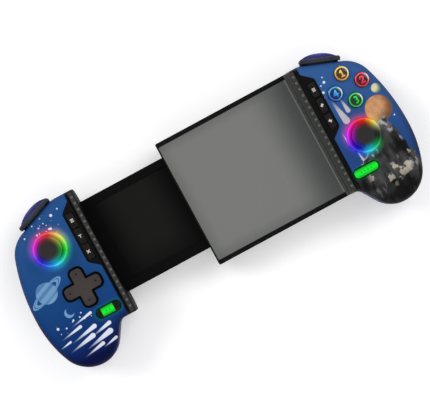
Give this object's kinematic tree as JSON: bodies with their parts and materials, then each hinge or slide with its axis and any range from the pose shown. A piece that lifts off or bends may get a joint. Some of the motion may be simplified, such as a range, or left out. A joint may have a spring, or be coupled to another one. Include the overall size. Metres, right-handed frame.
{
  "type": "mobile game controller",
  "caption": "Telescopic game controller for a phone: two grips with sticks, buttons and triggers, joined by a sliding bridge.",
  "frame": {"origin": "bottom centre of the box round the whole controller, on the surface that its backs lie on", "axes": "+X from the left grip to the right grip, +Y towards the bumpers and triggers, +Z out of the face"},
  "size_m": [0.255, 0.1056, 0.0433],
  "materials": {
    "shell_blue": "satin moulded plastic, deep blue",
    "shell_back": "matt moulded plastic, navy",
    "jaw_black": "matt black plastic",
    "rubber_grey": "soft dark grey rubber",
    "key_black": "gloss black plastic",
    "key_dark": "dark silicone rubber",
    "ring_light": "clear diffuser lit in rainbow colours",
    "stick_rubber": "soft black rubber",
    "pin_steel": "turned steel",
    "module_black": "black engineering plastic",
    "nylon_white": "natural nylon",
    "board_green": "green circuit board",
    "membrane_grey": "silicone rubber",
    "battery_wrap": "foil pouch",
    "screw_steel": "blackened steel",
    "case_black": "fine grained black plastic",
    "plate_satin": "satin grey anodised plate",
    "slider_black": "black plastic",
    "spring_steel": "spring steel strip",
    "ribbon_amber": "amber film cable",
    "trigger_indigo": "indigo satin plastic",
    "bumper_charcoal": "charcoal satin plastic",
    "pad_dark": "dark grey plastic",
    "button_clear": "clear dome over a black disc with a coloured ring",
    "key_lit": "translucent plastic lit green"
  },
  "bodies": {
    "right_grip": {"right_front_shell": "shell_blue", "right_back_shell": "shell_back", "right_jaw": "jaw_black", "right_jaw_pad": "rubber_grey", "right_key_plate": "key_black", "right_light_ring": "ring_light", "right_stick_module": "module_black", "right_circuit_board": "board_green", "right_membrane": "membrane_grey", "right_case_screws": "screw_steel", "right_frame_screws": "screw_steel", "right_trigger_pin": "pin_steel", "bridge_case": "case_black", "bridge_face_plate": "plate_satin", "bridge_back_cover": "case_black", "bridge_screws": "screw_steel", "spring_spools": "spring_steel", "spring_strips": "spring_steel", "ribbon_cable": "ribbon_amber", "battery": "battery_wrap", "usb_port": "pin_steel"},
    "left_grip": {"left_front_shell": "shell_blue", "left_back_shell": "shell_back", "left_jaw": "jaw_black", "left_jaw_pad": "rubber_grey", "left_key_plate": "key_black", "left_light_ring": "ring_light", "left_stick_module": "module_black", "left_circuit_board": "board_green", "left_membrane": "membrane_grey", "left_case_screws": "screw_steel", "left_frame_screws": "screw_steel", "left_trigger_pin": "pin_steel", "bridge_slider": "slider_black", "glide_shoes": "nylon_white", "dpad_bracket": "module_black"},
    "left_stick_yoke": {"left_stick_yoke": "nylon_white"},
    "left_stick_pivot": {"left_stick_pivot": "nylon_white"},
    "left_stick_cap": {"left_stick_cap": "stick_rubber"},
    "left_key_upper": {"left_key_upper": "key_dark"},
    "left_key_middle": {"left_key_middle": "key_dark"},
    "left_key_lower": {"left_key_lower": "key_dark"},
    "left_bumper": {"left_bumper": "bumper_charcoal"},
    "left_trigger": {"left_trigger": "trigger_indigo"},
    "right_stick_yoke": {"right_stick_yoke": "nylon_white"},
    "right_stick_pivot": {"right_stick_pivot": "nylon_white"},
    "right_stick_cap": {"right_stick_cap": "stick_rubber"},
    "right_key_upper": {"right_key_upper": "key_dark"},
    "right_key_middle": {"right_key_middle": "key_dark"},
    "right_key_lower": {"right_key_lower": "key_dark"},
    "right_bumper": {"right_bumper": "bumper_charcoal"},
    "right_trigger": {"right_trigger": "trigger_indigo"},
    "light_key": {"light_key": "key_lit"},
    "home_key": {"home_key": "key_lit"},
    "button_top": {"button_top": "button_clear"},
    "button_right": {"button_right": "button_clear"},
    "button_bottom": {"button_bottom": "button_clear"},
    "button_left": {"button_left": "button_clear"},
    "dpad_pivot": {"dpad_pivot": "nylon_white"},
    "dpad_cap": {"dpad_cap": "pad_dark"}
  },
  "joints": [
    {"name": "bridge_slide", "type": "slide", "parent": "right_grip", "child": "left_grip", "axis": [1, 0, 0], "range_m": [-0.016, 0.056], "deforming": ["spring_strips", "ribbon_cable"]},
    {"name": "left_stick_tilt_y", "type": "hinge", "parent": "left_grip", "child": "left_stick_yoke", "pos_m": [-0.0989, 0.0238, 0.024], "axis": [1, 0, 0], "range_deg": [-18, 18], "stiffness_Nm_per_rad": 0.05},
    {"name": "left_stick_tilt_x", "type": "hinge", "parent": "left_stick_yoke", "child": "left_stick_pivot", "pos_m": [-0.0989, 0.0238, 0.024], "axis": [0, 1, 0], "range_deg": [-18, 18], "stiffness_Nm_per_rad": 0.05},
    {"name": "left_stick_click", "type": "slide", "parent": "left_stick_pivot", "child": "left_stick_cap", "axis": [0, 0, -1], "range_m": [0, 0.0006], "stiffness_N_per_m": 3000},
    {"name": "left_key_upper_press", "type": "slide", "parent": "left_grip", "child": "left_key_upper", "axis": [0, 0, -1], "range_m": [0, 0.0008], "stiffness_N_per_m": 400},
    {"name": "left_key_middle_press", "type": "slide", "parent": "left_grip", "child": "left_key_middle", "axis": [0, 0, -1], "range_m": [0, 0.0008], "stiffness_N_per_m": 400},
    {"name": "left_key_lower_press", "type": "slide", "parent": "left_grip", "child": "left_key_lower", "axis": [0, 0, -1], "range_m": [0, 0.0008], "stiffness_N_per_m": 400},
    {"name": "left_bumper_press", "type": "slide", "parent": "left_grip", "child": "left_bumper", "axis": [0.3584, -0.9336, 0], "range_m": [0, 0.0006], "stiffness_N_per_m": 1500},
    {"name": "left_trigger_pull", "type": "hinge", "parent": "left_grip", "child": "left_trigger", "pos_m": [-0.09638, 0.0431, 0.018], "axis": [-0.9336, -0.3584, 0], "range_deg": [0, 16], "stiffness_Nm_per_rad": 0.06, "springref_deg": -5.73},
    {"name": "right_stick_tilt_y", "type": "hinge", "parent": "right_grip", "child": "right_stick_yoke", "pos_m": [0.0995, -0.0055, 0.024], "axis": [1, 0, 0], "range_deg": [-18, 18], "stiffness_Nm_per_rad": 0.05},
    {"name": "right_stick_tilt_x", "type": "hinge", "parent": "right_stick_yoke", "child": "right_stick_pivot", "pos_m": [0.0995, -0.0055, 0.024], "axis": [0, 1, 0], "range_deg": [-18, 18], "stiffness_Nm_per_rad": 0.05},
    {"name": "right_stick_click", "type": "slide", "parent": "right_stick_pivot", "child": "right_stick_cap", "axis": [0, 0, -1], "range_m": [0, 0.0006], "stiffness_N_per_m": 3000},
    {"name": "right_key_upper_press", "type": "slide", "parent": "right_grip", "child": "right_key_upper", "axis": [0, 0, -1], "range_m": [0, 0.0008], "stiffness_N_per_m": 400},
    {"name": "right_key_middle_press", "type": "slide", "parent": "right_grip", "child": "right_key_middle", "axis": [0, 0, -1], "range_m": [0, 0.0008], "stiffness_N_per_m": 400},
    {"name": "right_key_lower_press", "type": "slide", "parent": "right_grip", "child": "right_key_lower", "axis": [0, 0, -1], "range_m": [0, 0.0008], "stiffness_N_per_m": 400},
    {"name": "right_bumper_press", "type": "slide", "parent": "right_grip", "child": "right_bumper", "axis": [-0.3584, -0.9336, 0], "range_m": [0, 0.0006], "stiffness_N_per_m": 1500},
    {"name": "right_trigger_pull", "type": "hinge", "parent": "right_grip", "child": "right_trigger", "pos_m": [0.09638, 0.0431, 0.018], "axis": [-0.9336, 0.3584, 0], "range_deg": [0, 16], "stiffness_Nm_per_rad": 0.06, "springref_deg": -5.73},
    {"name": "light_key_press", "type": "slide", "parent": "left_grip", "child": "light_key", "axis": [0, 0, -1], "range_m": [0, 0.0008], "stiffness_N_per_m": 400},
    {"name": "home_key_press", "type": "slide", "parent": "right_grip", "child": "home_key", "axis": [0, 0, -1], "range_m": [0, 0.0008], "stiffness_N_per_m": 400},
    {"name": "button_top_press", "type": "slide", "parent": "right_grip", "child": "button_top", "axis": [0, 0, -1], "range_m": [0, 0.0012], "stiffness_N_per_m": 400},
    {"name": "button_right_press", "type": "slide", "parent": "right_grip", "child": "button_right", "axis": [0, 0, -1], "range_m": [0, 0.0012], "stiffness_N_per_m": 400},
    {"name": "button_bottom_press", "type": "slide", "parent": "right_grip", "child": "button_bottom", "axis": [0, 0, -1], "range_m": [0, 0.0012], "stiffness_N_per_m": 400},
    {"name": "button_left_press", "type": "slide", "parent": "right_grip", "child": "button_left", "axis": [0, 0, -1], "range_m": [0, 0.0012], "stiffness_N_per_m": 400},
    {"name": "dpad_rock_y", "type": "hinge", "parent": "left_grip", "child": "dpad_pivot", "pos_m": [-0.0921, -0.0054, 0.0275], "axis": [1, 0, 0], "range_deg": [-3, 3], "stiffness_Nm_per_rad": 0.3},
    {"name": "dpad_rock_x", "type": "hinge", "parent": "dpad_pivot", "child": "dpad_cap", "pos_m": [-0.0921, -0.0054, 0.0275], "axis": [0, 1, 0], "range_deg": [-3, 3], "stiffness_Nm_per_rad": 0.3}
  ]
}
